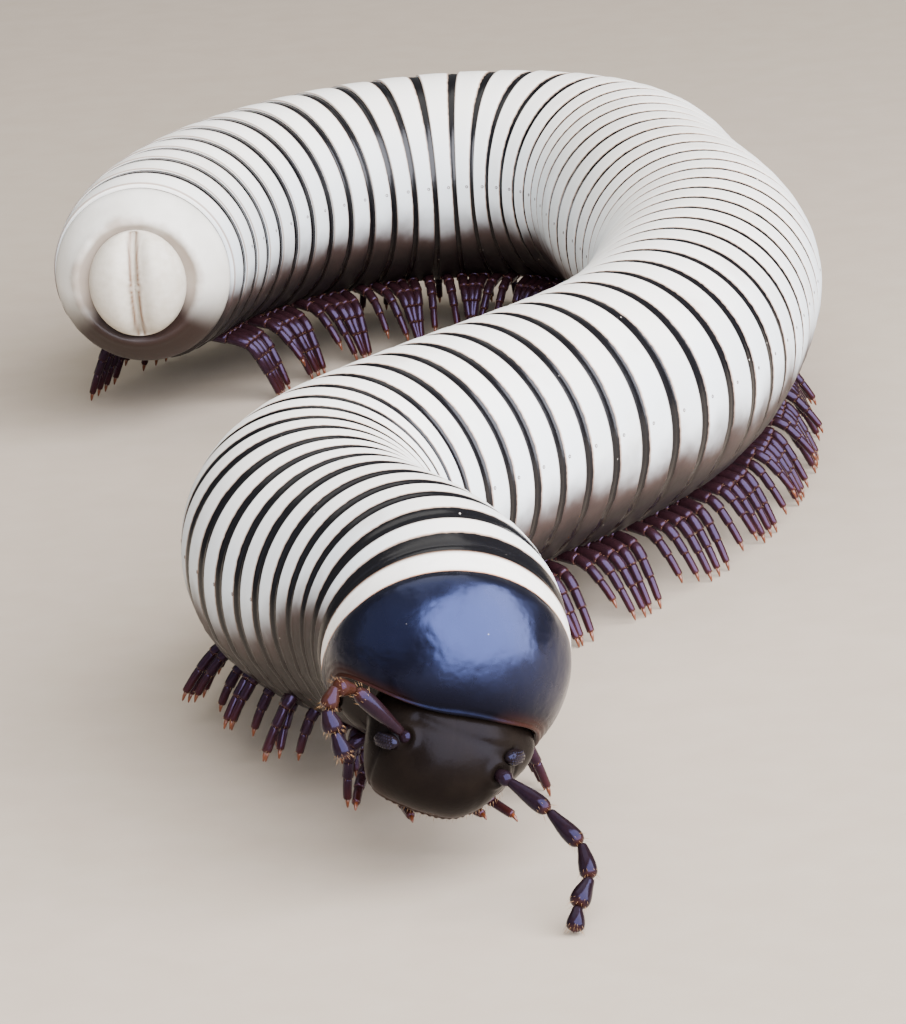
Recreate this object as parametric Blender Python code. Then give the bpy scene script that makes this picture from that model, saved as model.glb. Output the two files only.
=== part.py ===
import math

import bmesh
import bpy
import numpy as np

for old in list(bpy.data.objects):
    bpy.data.objects.remove(old)

# Sizes in millimetres, measured along a centreline that runs from the head to the tail
MM = 0.001
BODY_RADIUS = 9.0
SIDES = 18
GAP = 0.3
STEPS = 8

# Heading of the centreline at a ring, in degrees from straight back toward the right
HEADING_AT = (0, 3, 6, 9, 12, 15, 18, 22, 25, 28, 31, 34, 37, 40, 44, 48, 51, 54, 58, 62, 66, 70)
HEADING = (
    2.7, -17.9, -25.5, -20.1, 3.3, 35.2, 38.7, 41.9, 30.1, 16.4, 11.0, 8.4, -5.6, -12.3,
    -4, -48, -86, -116, -144, -165, -178, -178,
)
HEIGHT_AT = (0, 1.5, 3, 5, 8, 70)
HEIGHT = (12.54, 13.9, 13.8, 13.7, 13.1, 13.1)
PITCH_AT = (0, 12, 26, 40, 70)
PITCH = (2.75, 2.75, 3.45, 3.3, 3.3)
LEAN_AT = (0, 1, 2, 4)
LEAN = (15, 9, 4.5, 0)
RADIUS_AT = (-1, 0, 1, 3, 6, 10, 44, 54, 59, 62, 63, 64, 66)
RADIUS_SHARE = (0.83, 0.84, 0.87, 0.91, 0.95, 1.0, 1.0, 0.98, 0.95, 0.91, 0.88, 0.83, 0.6)
TWIST_AT = (-2, 0, 2, 7)
TWIST = (17, 15, 9, 0)

# Rings of each length of the trunk
TRUNK_CUTS = (1, 8, 16, 24, 32, 40, 47, 54, 60, 64)
RING_STEP = 0.034

# Legs, as lateral distance and height of root, knee and foot; they step in waves along the body
LEG_LATERAL = (1.4, 6.3, 8.7)
LEG_HEIGHT = (5.3, 4.4, 0.0)
LEG_RADIUS = (0.62, 0.55, 0.3)
LEG_SWING = 0.62
LEG_WAVE_RINGS = 2.6
LEG_STEP = 1.9
LAST_LEG_RING = 61

# Feet of the first two pairs, by ring and side, as reach, distance ahead and height
FRONT_FEET = {(1, 1): (1.3, 5.4, 3.3), (1, -1): (3.4, 5.0, 3.6), (2, 1): (3.2, 5.6, 2.0), (2, -1): (6.8, 3.4, 3.6)}

# The right legs of the first rings are held up and out, with the reach and height of knee and foot
HELD_AT = (2.8, 3.6, 4.3, 4.9, 6.1, 9.1, 11.7, 13.4, 15.5)
HELD_SHARE = (1, 1, 1, 1, 1, 1, 1, 1, 0)
HELD_KNEE = (
    (5.2, 6.2), (5.2, 6.2), (4.8, 6.6), (5.0, 6.9), (6.1, 7.8), (5.5, 7.4), (6.8, 6.2), (8.4, 5.6), (6.3, 4.4),
)
HELD_FOOT = (
    (6.2, 1.7), (6.2, 1.7), (6.0, 3.0), (6.6, 3.6), (8.5, 3.4), (8.0, 3.4), (9.6, 2.4), (11.4, 1.6), (8.7, 0.0),
)

# Telson and the pair of valves that closes it, as radius and length
TELSON_RADIUS = 7.3
VALVE_SIZE = (4.4, 2.8)


def smoothed(values, reach=10):
    window = np.ones(2 * reach + 1) / (2 * reach + 1)
    return np.convolve(np.pad(values, reach, mode="edge"), window, "valid")


def centreline():
    """Positions and unit tangents at every eighth of a ring."""
    ring = np.arange(0, HEADING_AT[-1] * STEPS + 1) / STEPS
    heading = np.radians(smoothed(np.interp(ring, HEADING_AT, HEADING)))
    height = smoothed(np.interp(ring, HEIGHT_AT, HEIGHT))
    pitch = np.interp(ring, PITCH_AT, PITCH)
    rise = np.gradient(height, ring)
    flat = np.sqrt(np.maximum(pitch * pitch - rise * rise, 0.2))
    along = np.stack([np.sin(heading) * flat, np.cos(heading) * flat], 1)
    steps = (along[1:] + along[:-1]) / 2 / STEPS
    plan = np.concatenate([[[0.0, 0.0]], np.cumsum(steps, axis=0)])
    points = np.column_stack([plan, height])
    tangents = np.column_stack([along, rise])
    tangents /= np.linalg.norm(tangents, axis=1)[:, None]
    sides = np.cross(tangents, (0, 0, 1.0))
    ups = np.cross(sides / np.linalg.norm(sides, axis=1)[:, None], tangents)
    lean = np.radians(np.interp(ring, LEAN_AT, LEAN))[:, None]
    return ring, points, np.cos(lean) * tangents + np.sin(lean) * ups


RING, POINTS, TANGENTS = centreline()


def frame_at(ring):
    """Centre, backward axis, side and up at a ring number, with the head's twist."""
    held = min(max(ring, 0.0), float(HEADING_AT[-1]))
    centre = np.array([np.interp(held, RING, POINTS[:, i]) for i in range(3)])
    axis = np.array([np.interp(held, RING, TANGENTS[:, i]) for i in range(3)])
    axis /= np.linalg.norm(axis)
    centre = centre + axis * (ring - held) * PITCH[0]
    side = np.cross(axis, (0, 0, 1.0))
    side /= np.linalg.norm(side)
    up = np.cross(side, axis)
    turn = math.radians(np.interp(ring, TWIST_AT, TWIST))
    turned_side = math.cos(turn) * side - math.sin(turn) * up
    turned_up = math.sin(turn) * side + math.cos(turn) * up
    return centre, axis, turned_side, turned_up


def radius_at(ring):
    return BODY_RADIUS * float(np.interp(ring, RADIUS_AT, RADIUS_SHARE))


def add_mesh(name, points, faces):
    mesh = bpy.data.meshes.new(name)
    mesh.from_pydata([tuple(np.asarray(p, float) * MM) for p in points], [], faces)
    work = bmesh.new()
    work.from_mesh(mesh)
    bmesh.ops.triangulate(work, faces=work.faces[:])
    bmesh.ops.recalc_face_normals(work, faces=work.faces[:])
    if work.calc_volume(signed=True) < 0:
        bmesh.ops.reverse_faces(work, faces=work.faces[:])
    work.to_mesh(mesh)
    work.free()
    obj = bpy.data.objects.new(name, mesh)
    bpy.context.scene.collection.objects.link(obj)
    return obj


def lofted(name, loops):
    """A closed solid through loops of equal length, with a flat cap at each end."""
    count = len(loops[0])
    points = [p for loop in loops for p in loop]
    faces = [tuple(reversed(range(count)))]
    for i in range(len(loops) - 1):
        for j in range(count):
            k = (j + 1) % count
            faces.append((i * count + j, i * count + k, (i + 1) * count + k, (i + 1) * count + j))
    last = (len(loops) - 1) * count
    faces.append(tuple(range(last, last + count)))
    return add_mesh(name, points, faces)


def round_loop(centre, side, up, radius, count, start=0.0):
    angles = [start + 2 * math.pi * i / count for i in range(count)]
    return [centre + radius * (math.cos(a) * side + math.sin(a) * up) for a in angles]


def swept(name, path, radii, count=6, ends_flat=False):
    """A tapering limb along a path of points, its loops set square to the bends."""
    path = [np.asarray(p, float) for p in path]
    loops = []
    hint = None
    for i, point in enumerate(path):
        ahead = path[min(i + 1, len(path) - 1)] - path[max(i - 1, 0)]
        ahead /= np.linalg.norm(ahead)
        if ends_flat and i == len(path) - 1:
            ahead = np.array([0.0, 0.0, -1.0])
        if hint is None:
            hint = np.cross(ahead, (0.0, 0.31, 0.95))
        side = hint - ahead * np.dot(hint, ahead)
        side /= np.linalg.norm(side)
        hint = side
        loops.append(round_loop(point, side, np.cross(ahead, side), radii[i], count, math.pi / count))
    return lofted(name, loops)


def joined(name, body, pieces):
    """One closed surface from a body and the pieces that grow out of it."""
    group = bpy.data.collections.new(name + "_pieces")
    bpy.context.scene.collection.children.link(group)
    for piece in pieces:
        bpy.context.scene.collection.objects.unlink(piece)
        group.objects.link(piece)
    cut = body.modifiers.new("join", "BOOLEAN")
    cut.operation = "UNION"
    cut.operand_type = "COLLECTION"
    cut.collection = group
    cut.solver = "EXACT"
    bpy.context.view_layer.objects.active = body
    bpy.context.view_layer.update()
    graph = bpy.context.evaluated_depsgraph_get()
    mesh = bpy.data.meshes.new_from_object(body.evaluated_get(graph))
    body.modifiers.clear()
    body.data = mesh
    body.name = name
    for piece in list(group.objects):
        bpy.data.objects.remove(piece)
    bpy.data.collections.remove(group)
    keep_largest(body)
    return body


def keep_largest(obj):
    work = bmesh.new()
    work.from_mesh(obj.data)
    bmesh.ops.triangulate(work, faces=work.faces[:])
    left = set(work.faces)
    islands = []
    while left:
        stack = [left.pop()]
        island = list(stack)
        while stack:
            face = stack.pop()
            for edge in face.edges:
                for other in edge.link_faces:
                    if other in left:
                        left.remove(other)
                        island.append(other)
                        stack.append(other)
        islands.append(island)
    islands.sort(key=len, reverse=True)
    for island in islands[1:]:
        bmesh.ops.delete(work, geom=island, context="FACES")
    work.to_mesh(obj.data)
    work.free()


def painted(obj, name, colour, roughness):
    material = bpy.data.materials.get(name) or bpy.data.materials.new(name)
    material.use_nodes = True
    shader = material.node_tree.nodes["Principled BSDF"]
    shader.inputs["Base Color"].default_value = (*colour, 1.0)
    shader.inputs["Roughness"].default_value = roughness
    obj.data.materials.clear()
    obj.data.materials.append(material)
    return obj


def trunk_length(name, first, last):
    loops = []
    for ring in range(first, last):
        begin = ring + (GAP / 2 / PITCH[0] if ring == first else 0.03)
        end = ring + 1 - (GAP / 2 / PITCH[0] if ring == last - 1 else 0.06)
        for place, share in ((begin, 1 - RING_STEP), (end, 1.0)):
            centre, _, side, up = frame_at(place)
            loops.append(round_loop(centre, side, up, radius_at(place) * share, SIDES))
    return lofted(name + "_body", loops)


def inner_squeeze(ring, hand):
    """How much the legs on the inner side of a bend draw in."""
    before, after = frame_at(ring - 1)[1], frame_at(ring + 1)[1]
    turn = math.degrees(math.asin(max(-1.0, min(1.0, np.cross(before, after)[2]))))
    return max(0.0, min(1.0, -turn * hand / 24))


def leg(ring, place, hand):
    centre, axis, side, _ = frame_at(ring + place)
    flat_axis = np.array([axis[0], axis[1], 0.0])
    flat_axis /= np.linalg.norm(flat_axis)
    flat_side = np.cross(flat_axis, (0, 0, 1.0)) * hand
    ground = np.array([centre[0], centre[1], 0.0])
    squeeze = inner_squeeze(ring + place, -hand)
    phase = 2 * math.pi * (ring + place) / LEG_WAVE_RINGS
    swing = LEG_SWING * math.sin(phase) * (1 - squeeze)
    drop = centre[2] - radius_at(ring + place) - 4.1
    step = LEG_STEP * max(0.0, math.cos(phase) - 0.35) / 0.65 * (1 - squeeze)
    held = float(np.interp(ring + place, HELD_AT, HELD_SHARE)) * (hand < 0)
    path = []
    for i in range(3):
        reach = LEG_LATERAL[i] * (1 - 0.22 * squeeze * (i > 0)) + step * (0, 0.1, 0.25)[i]
        height = LEG_HEIGHT[i] + drop * (1.0, 0.8, 0.0)[i] + step * (0, 0.25, 1)[i]
        if i and held:
            spots = (HELD_KNEE, HELD_FOOT)[i - 1]
            reach += (np.interp(ring + place, HELD_AT, [spot[0] for spot in spots]) - reach) * held
            height += (np.interp(ring + place, HELD_AT, [spot[1] for spot in spots]) - height) * held
        path.append(ground + flat_side * reach + flat_axis * swing * (0, 0.5, 1)[i] + (0, 0, height))
    return swept("leg", path, LEG_RADIUS, 4, True)


def front_leg(ring, hand, reach, ahead, height):
    """A leg of the first pairs, held up beside the mouth."""
    centre, axis, side, up = frame_at(ring + 0.5)
    low = radius_at(ring + 0.5)
    root = centre - up * (low - 1.6) + side * hand * 1.3
    knee = centre - up * (low + 1.1) + side * hand * reach * 0.62 - axis * ahead * 0.5
    foot = np.array([centre[0], centre[1], height]) + side * hand * reach - axis * ahead
    foot[2] = height
    return swept("leg", [root, knee, foot], LEG_RADIUS, 4)


def build_trunk():
    for number in range(len(TRUNK_CUTS) - 1):
        first, last = TRUNK_CUTS[number], TRUNK_CUTS[number + 1]
        name = "trunk_%d" % (number + 1)
        body = trunk_length(name, first, last)
        legs = []
        for ring in range(first, min(last, LAST_LEG_RING + 1)):
            for hand in (-1, 1):
                if ring < 3:
                    legs.append(front_leg(ring, hand, *FRONT_FEET[ring, hand]))
                elif ring == 3:
                    legs.append(leg(ring, 0.5, hand))
                else:
                    legs.extend(leg(ring, place, hand) for place in (0.27, 0.75))
        whole = joined(name, body, legs)
        painted(whole, "trunk chitin", (0.62, 0.56, 0.42), 0.3)


# Collum: the neck shield, a dome cut away below and in front over the head
COLLUM_REAR = (0.93, 0.66, 0.4)
COLLUM_MIDDLE = -1.2
COLLUM_HALF = (7.3, 7.72, 7.85)
COLLUM_CUT_RIGHT = ((14, 4.6), (5.88, 1.85), (2.4, 1.53), (0.47, 1.13), (-0.1, -1.13), (-0.63, -4.2))
COLLUM_CUT_LEFT = ((14, 4.6), (5.88, 1.85), (6.6, 1.07), (5.5, -0.73), (4.1, -2.77), (1.93, -4.9))
COLLUM_CUT_BELOW = ((-1.2, -5.6), (-5, -6.2), (-5, -14), (14, -14))
HEAD_AT = (3.8, -2.4)
HEAD_HALF = (5.0, 5.2, 4.0)


def head_frame():
    centre, axis, side, up = frame_at(0)
    return centre, -axis, side, up


def head_loops(extra):
    """Rings of the head capsule from its back to its face, wide and a little flattened."""
    centre, ahead, side, up = head_frame()
    middle = centre + ahead * HEAD_AT[0] + up * HEAD_AT[1]
    loops = []
    for i in range(12):
        share = -math.cos(math.pi * (i + 0.35) / 11.7)
        around = math.sqrt(1 - share * share)
        loop = []
        for j in range(20):
            angle = 2 * math.pi * j / 20
            wide = (HEAD_HALF[1] + extra) * around * math.cos(angle)
            tall = (HEAD_HALF[2] + extra) * around * math.sin(angle)
            loop.append(middle + ahead * (HEAD_HALF[0] + extra) * share + side * wide + up * tall)
        loops.append(loop)
    return loops


def cut_away(obj, cutter):
    cut = obj.modifiers.new("cut", "BOOLEAN")
    cut.operation = "DIFFERENCE"
    cut.object = cutter
    cut.solver = "EXACT"
    bpy.context.view_layer.update()
    graph = bpy.context.evaluated_depsgraph_get()
    obj.data = bpy.data.meshes.new_from_object(obj.evaluated_get(graph))
    obj.modifiers.clear()
    bpy.data.objects.remove(cutter)
    keep_largest(obj)


def build_head():
    head = lofted("head", head_loops(0.0))
    painted(head, "head chitin", (0.02, 0.014, 0.012), 0.25)
    centre, ahead, side, up = head_frame()
    loops = []
    for ring in COLLUM_REAR:
        middle, _, across, rise = frame_at(ring)
        loops.append(round_loop(middle, across, rise, radius_at(ring), 26))
    rows = []
    for i in range(1, 9):
        angle = math.pi / 2 * i / 8.6
        rows.append((COLLUM_MIDDLE + COLLUM_HALF[0] * math.sin(angle), math.cos(angle)))
    for forward, share in rows:
        middle = centre + ahead * forward
        loop = []
        for j in range(26):
            angle = 2 * math.pi * j / 26
            wide = COLLUM_HALF[1] * share * math.cos(angle)
            tall = COLLUM_HALF[2] * share * math.sin(angle)
            loop.append(middle + side * wide + up * tall)
        loops.append(loop)
    collum = lofted("collum", loops)
    sheets = []
    for hand, cut in ((-14, COLLUM_CUT_RIGHT), (14, COLLUM_CUT_LEFT)):
        sheets.append([centre + ahead * a + up * b + side * hand for a, b in cut + COLLUM_CUT_BELOW])
    cut_away(collum, lofted("throat", sheets))
    cut_away(collum, lofted("head_room", head_loops(GAP)))
    painted(collum, "collum chitin", (0.012, 0.011, 0.012), 0.2)


def build_eyes():
    centre, ahead, side, up = head_frame()
    middle = centre + ahead * HEAD_AT[0] + up * HEAD_AT[1]
    for name, hand in (("eye_left", 1), ("eye_right", -1)):
        out = np.array([0.5, 0.78 * hand, 0.36])
        out /= np.linalg.norm(out)
        reach = 1 / np.linalg.norm(out / HEAD_HALF)
        aim = ahead * out[0] + side * out[1] + up * out[2]
        across = np.cross(aim, up)
        across /= np.linalg.norm(across)
        rise = np.cross(across, aim)
        spot = middle + aim * (reach + GAP + 0.1)
        loops = []
        for depth, share in ((0.0, 1.0), (0.22, 0.9), (0.34, 0.55)):
            loops.append(round_loop(spot + aim * depth, across * 0.9, rise * 0.6, share, 12))
        painted(lofted(name, loops), "eye", (0.005, 0.005, 0.006), 0.15)


# Antennae as points from the socket to the tip, with the radius of each joint
ANTENNA_LEFT = (
    (3.0, -6.3, 7.8), (5.6, -8.2, 6.06), (7.38, -9.8, 4.36), (7.69, -11.5, 2.75), (6.8, -12.9, 1.5),
    (6.5, -13.9, 0.34),
)
ANTENNA_RIGHT = (
    (-2.79, -5.9, 10.71), (-5.77, -7.0, 14.4), (-6.9, -7.9, 14.9), (-7.5, -8.5, 13.7), (-7.1, -8.9, 12.3),
    (-6.6, -9.3, 10.8),
)
ANTENNA_RADII = (0.5, 0.52, 0.6, 0.6, 0.68, 0.56)


def antenna(name, points):
    path = []
    radii = []
    for i in range(len(points) - 1):
        near, far = np.array(points[i]), np.array(points[i + 1])
        swell = ANTENNA_RADII[i + 1]
        start = 0.14 if i == 0 else 0.06
        for share, width in ((start, 0.62), (0.55, 0.84), (0.86, 1.0)):
            path.append(near + (far - near) * share)
            radii.append(swell * width)
    path.append(np.array(points[-1]))
    radii.append(0.34)
    painted(swept(name, path, radii, 8), "antenna chitin", (0.09, 0.03, 0.03), 0.25)


def build_tail():
    loops = []
    for past, share in ((0.05, 0.99), (0.45, 0.94), (0.8, 0.84), (1.05, 0.7)):
        centre, _, side, up = frame_at(TRUNK_CUTS[-1] + past)
        loops.append(round_loop(centre, side, up, TELSON_RADIUS * share, SIDES))
    painted(lofted("telson", loops), "telson chitin", (0.45, 0.4, 0.3), 0.3)
    centre, axis, side, up = frame_at(TRUNK_CUTS[-1] + 1.05)
    loops = []
    for i in range(6):
        share = i / 5.6
        ahead = centre + axis * (GAP + VALVE_SIZE[1] * share)
        loops.append(round_loop(ahead, side * 0.9, up, VALVE_SIZE[0] * math.sqrt(1 - share * share), 16))
    painted(lofted("anal_valves", loops), "valve chitin", (0.42, 0.37, 0.28), 0.3)


def settle():
    """Centres the row over its origin with its lowest feet at floor level."""
    bpy.context.view_layer.update()
    corners = np.array([v.co[:] for o in bpy.context.scene.objects for v in o.data.vertices])
    low, high = corners.min(0), corners.max(0)
    shift = np.array([-(low[0] + high[0]) / 2, -(low[1] + high[1]) / 2, 0.0])
    for obj in bpy.context.scene.objects:
        for vertex in obj.data.vertices:
            vertex.co = np.array(vertex.co[:]) + shift
    print("shift_mm", shift / MM, "size_mm", (high - low) / MM, "low", low[2] / MM)


build_trunk()
build_head()
build_eyes()
antenna("antenna_left", ANTENNA_LEFT)
antenna("antenna_right", ANTENNA_RIGHT)
build_tail()
settle()
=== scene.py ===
import math
import random

import bmesh
import bpy
import numpy as np
from mathutils import Matrix, Vector


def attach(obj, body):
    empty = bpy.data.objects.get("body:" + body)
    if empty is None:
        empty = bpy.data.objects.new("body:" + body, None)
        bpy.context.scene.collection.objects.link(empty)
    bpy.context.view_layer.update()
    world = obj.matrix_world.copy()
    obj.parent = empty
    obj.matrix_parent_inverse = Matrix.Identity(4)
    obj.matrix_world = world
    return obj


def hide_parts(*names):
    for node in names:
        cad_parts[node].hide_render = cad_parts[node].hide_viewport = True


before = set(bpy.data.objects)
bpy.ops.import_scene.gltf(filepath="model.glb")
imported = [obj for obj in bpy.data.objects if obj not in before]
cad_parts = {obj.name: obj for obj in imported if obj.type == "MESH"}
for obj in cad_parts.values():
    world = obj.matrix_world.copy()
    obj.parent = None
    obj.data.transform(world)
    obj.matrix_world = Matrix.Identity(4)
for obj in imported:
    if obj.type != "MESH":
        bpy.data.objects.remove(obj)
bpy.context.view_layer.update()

mm = 0.001

# The walking pose, as in the solids: each table's places are rings, counted from the head
pose = {
    "shift": (-0.55458, -68.28564),  # mm, and so are all lengths here
    "headingAt": (0, 3, 6, 9, 12, 15, 18, 22, 25, 28, 31, 34, 37, 40, 44, 48, 51, 54, 58, 62, 66, 70),
    "heading": (
        2.7, -17.9, -25.5, -20.1, 3.3, 35.2, 38.7, 41.9, 30.1, 16.4, 11.0, 8.4, -5.6, -12.3,
        -4, -48, -86, -116, -144, -165, -178, -178,
    ),
    "heightAt": (0, 1.5, 3, 5, 8, 70),
    "height": (12.54, 13.9, 13.8, 13.7, 13.1, 13.1),
    "pitchAt": (0, 12, 26, 40, 70),
    "pitch": (2.75, 2.75, 3.45, 3.3, 3.3),  # length of a ring
    "leanAt": (0, 1, 2, 4),
    "lean": (15, 9, 4.5, 0),  # degrees
    "twistAt": (-2, 0, 2, 7),
    "twist": (17, 15, 9, 0),  # degrees
    "girthAt": (-1, 0, 1, 3, 6, 10, 44, 54, 59, 62, 63, 64, 66),
    "girth": (0.83, 0.84, 0.87, 0.91, 0.95, 1.0, 1.0, 0.98, 0.95, 0.91, 0.88, 0.83, 0.6),  # of bodyRadius
    "bodyRadius": 9.0,
    "lastRing": 64,
    "perRing": 8,  # points of the centreline to a ring
}
headEnd = np.array([*pose["shift"], 0])


# The value of a table at one place, or at several
def valueAt(table, name, place):
    return np.interp(place, table[name + "At"], table[name])


def smoothed(values, reach=10):
    window = np.ones(2 * reach + 1) / (2 * reach + 1)
    return np.convolve(np.pad(values, reach, mode="edge"), window, "valid")


# One vector, or each row of several, made 1 long
def unit(vectors):
    return vectors / np.linalg.norm(vectors, axis=-1, keepdims=True)


# What lies a turn round from one direction towards another, or a row of it for each turn
def turned(first, second, turn):
    return np.multiply.outer(np.cos(turn), first) + np.multiply.outer(np.sin(turn), second)


def makeCentreline():
    ring = np.arange(0, pose["headingAt"][-1] * pose["perRing"] + 1) / pose["perRing"]
    heading = np.radians(smoothed(valueAt(pose, "heading", ring)))
    height = smoothed(valueAt(pose, "height", ring))
    rise = np.gradient(height, ring)
    flat = np.sqrt(np.maximum(valueAt(pose, "pitch", ring) ** 2 - rise * rise, 0.2))
    along = np.stack([np.sin(heading) * flat, np.cos(heading) * flat], 1)
    steps = (along[1:] + along[:-1]) / (2 * pose["perRing"])
    plan = np.concatenate([[[0.0, 0.0]], np.cumsum(steps, axis=0)]) + np.array(pose["shift"])
    tangents = unit(np.column_stack([along, rise]))
    ups = np.cross(unit(np.cross(tangents, (0, 0, 1.0))), tangents)
    lean = np.radians(valueAt(pose, "lean", ring))[:, None]
    return ring, np.column_stack([plan, height]), np.cos(lean) * tangents + np.sin(lean) * ups


ringAt, linePoints, lineTangents = makeCentreline()


# Centre, axis towards the tail, the animal's left and its up at any place along the body
def frameAt(ring):
    held = min(max(ring, 0.0), float(pose["headingAt"][-1]))
    centre, axis = (
        np.array([np.interp(held, ringAt, column) for column in line.T]) for line in (linePoints, lineTangents)
    )
    axis = unit(axis)
    centre = centre + axis * (ring - held) * pose["pitch"][0]
    side = unit(np.cross(axis, (0, 0, 1.0)))
    up = np.cross(side, axis)
    twist = math.radians(valueAt(pose, "twist", ring))
    return centre, axis, turned(side, up, -twist), turned(up, side, twist)


def radiusAt(ring):
    return pose["bodyRadius"] * float(valueAt(pose, "girth", ring))


# Camera: a long lens in front of the head and a little above it
view = {
    "place": (0.972, -331.662, 116.987),  # mm from the head end of the centreline
    "down": 15.80,  # degrees below level
    "roll": -4.0,  # degrees
    "lensPixels": 5600.0,
    "pictureHeight": 1024,
    "sensor": 24.0,  # mm
}


def addObject(name, data):
    thing = bpy.data.objects.new(name, data)
    bpy.context.scene.collection.objects.link(thing)
    return thing


def addCamera():
    camera = addObject("camera", bpy.data.cameras.new("camera"))
    camera.data.sensor_fit = "VERTICAL"
    camera.data.sensor_height = view["sensor"]
    camera.data.lens = view["lensPixels"] * view["sensor"] / view["pictureHeight"]
    camera.data.clip_start = 0.01
    down, roll = math.radians(view["down"]), math.radians(view["roll"])
    back = np.array([0, -math.cos(down), math.sin(down)])
    right = np.array([1.0, 0, 0])
    up = np.cross(back, right)
    axes = (turned(right, up, roll), turned(up, right, -roll), back)
    matrix = Matrix([list(axis) for axis in axes]).transposed().to_4x4()
    matrix.translation = Vector((np.array(view["place"]) + headEnd) * mm)
    camera.matrix_world = matrix
    bpy.context.scene.camera = camera


addCamera()
print("camera done")


def fromHex(text):
    parts = [int(text[i:i + 2], 16) / 255 for i in (1, 3, 5)]
    return tuple(p / 12.92 if p <= 0.04045 else ((p + 0.055) / 1.055) ** 2.4 for p in parts) + (1.0,)


def smoothStep(low, high, value):
    share = np.clip((np.asarray(value, float) - low) / (high - low), 0, 1)
    return share * share * (3 - 2 * share)


def bell(value, middle, width):
    return np.exp(-((np.asarray(value, float) - middle) / width) ** 2)


# Ridges and grooves across a surface, from rows of height, place and width
def ridges(value, rows):
    return sum(height * bell(value, middle, width) for height, middle, width in rows)


# A smooth curve through a few points, as count points evenly along it
def curveThrough(points, count):
    points = np.asarray(points, float)
    spans = np.linalg.norm(np.diff(points, axis=0), axis=1)
    at = np.concatenate([[0], np.cumsum(spans)])
    slope = np.gradient(points, at, axis=0)
    where = np.linspace(0, at[-1], count)
    i = np.clip(np.searchsorted(at, where, "right") - 1, 0, len(spans) - 1)
    s = ((where - at[i]) / spans[i])[:, None]
    h = spans[i][:, None]
    near = (2 * s**3 - 3 * s**2 + 1) * points[i] + (s**3 - 2 * s**2 + s) * h * slope[i]
    return near + (3 * s**2 - 2 * s**3) * points[i + 1] + (s**3 - s**2) * h * slope[i + 1]


# A shape has its points in millimetres; every piece rides on the one body
def addPiece(name, shape, material, replaces=()):
    points = np.asarray(shape["points"], float)
    mesh = bpy.data.meshes.new(name)
    mesh.from_pydata((points * mm).tolist(), [], shape["faces"])
    work = bmesh.new()
    work.from_mesh(mesh)
    bmesh.ops.recalc_face_normals(work, faces=work.faces[:])
    work.to_mesh(mesh)
    work.free()
    mesh.shade_smooth()
    for field, values in shape["fields"].items():
        layer = mesh.attributes.new(field, "FLOAT", "POINT")
        layer.data.foreach_set("value", np.asarray(values, np.float32).ravel())
    mesh.materials.append(material)
    piece = addObject(name, mesh)
    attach(piece, "root")
    if replaces:
        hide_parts(*replaces)
    print(name, "done,", len(mesh.polygons), "faces, lowest", round(float(points[:, 2].min()), 3), "mm")
    return mesh


# Faces of a closed tube, from rows of points round it, with a cap at both ends
def tubeFaces(rows, columns, start=0):
    faces = []
    last = start + (rows - 1) * columns
    for low in range(start, last, columns):
        for j in range(columns):
            k = (j + 1) % columns
            faces.append((low + j, low + k, low + columns + k, low + columns + j))
    faces.append(tuple(reversed(range(start, start + columns))))
    faces.append(tuple(range(last, last + columns)))
    return faces


def newShape():
    return {"points": [], "faces": [], "fields": {}, "patches": []}


# Closed skin from rows of points round it, with as many rows of each field's values
def skinShape(rows, **fields):
    spread = {name: np.concatenate(values) for name, values in fields.items()}
    return {"points": np.concatenate(rows), "faces": tubeFaces(len(rows), len(rows[0])), "fields": spread}


# Round tube through a path; each field has one value, or one for each point of the path
def addTube(shape, path, radii, sides, **fields):
    path = np.asarray(path, float)
    shape["faces"].extend(tubeFaces(len(path), sides, len(shape["points"])))
    ahead = unit(np.gradient(path, axis=0))
    side = np.cross(ahead[0], (0.0, 0.31, 0.95))
    angles = 2 * math.pi * (np.arange(sides) + 0.5) / sides
    for centre, along, radius in zip(path, ahead, radii):
        side = unit(side - along * np.dot(side, along))
        shape["points"].extend((centre + radius * turned(side, np.cross(along, side), angles)).tolist())
    for field, values in fields.items():
        spread = np.repeat(np.broadcast_to(np.asarray(values, float), len(path)), sides)
        shape["fields"].setdefault(field, []).extend(spread.tolist())


# Bead or crater on a spot that faces out, from rows of its radius as a share and its height in mm
def addBead(shape, spot, across, rise, out, rows, sides):
    shape["faces"].extend(tubeFaces(len(rows), sides, len(shape["points"])))
    angles = 2 * math.pi * np.arange(sides) / sides
    for share, lift in rows:
        shape["points"].extend((spot + share * turned(across, rise, angles) + out * lift).tolist())


# One hair as a thin three-sided cone, with its own small patch on the unwrap
def addHair(shape, root, tip, width, patch):
    root, tip = np.array(root, float), np.array(tip, float)
    root[2], tip[2] = max(root[2], 0.05), max(tip[2], 0.02)  # none reaches under the floor
    ahead = unit(tip - root)
    side = unit(np.cross(ahead, (0.31, 0.2, 0.93)))
    base = len(shape["points"])
    foot = root + width * turned(side, np.cross(ahead, side), 2 * math.pi * np.arange(3) / 3)
    shape["points"].extend([*foot.tolist(), tip.tolist()])
    for corners in ((0, 1, 3), (1, 2, 3), (2, 0, 3), (2, 1, 0)):
        shape["faces"].append(tuple(base + corner for corner in corners))
    u, v = patch
    shape["patches"].extend([(u, v), (u + 0.003, v), (u + 0.0015, v + 0.003), (u + 0.0015, v + 0.0015)])


# Sets a node's inputs: a socket is linked, a hex text becomes a colour, a number is set
def fillInputs(tree, node, inputs):
    for key, value in inputs.items():
        if isinstance(value, bpy.types.NodeSocket):
            tree.links.new(value, node.inputs[key])
        else:
            node.inputs[key].default_value = fromHex(value) if isinstance(value, str) else value


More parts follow.
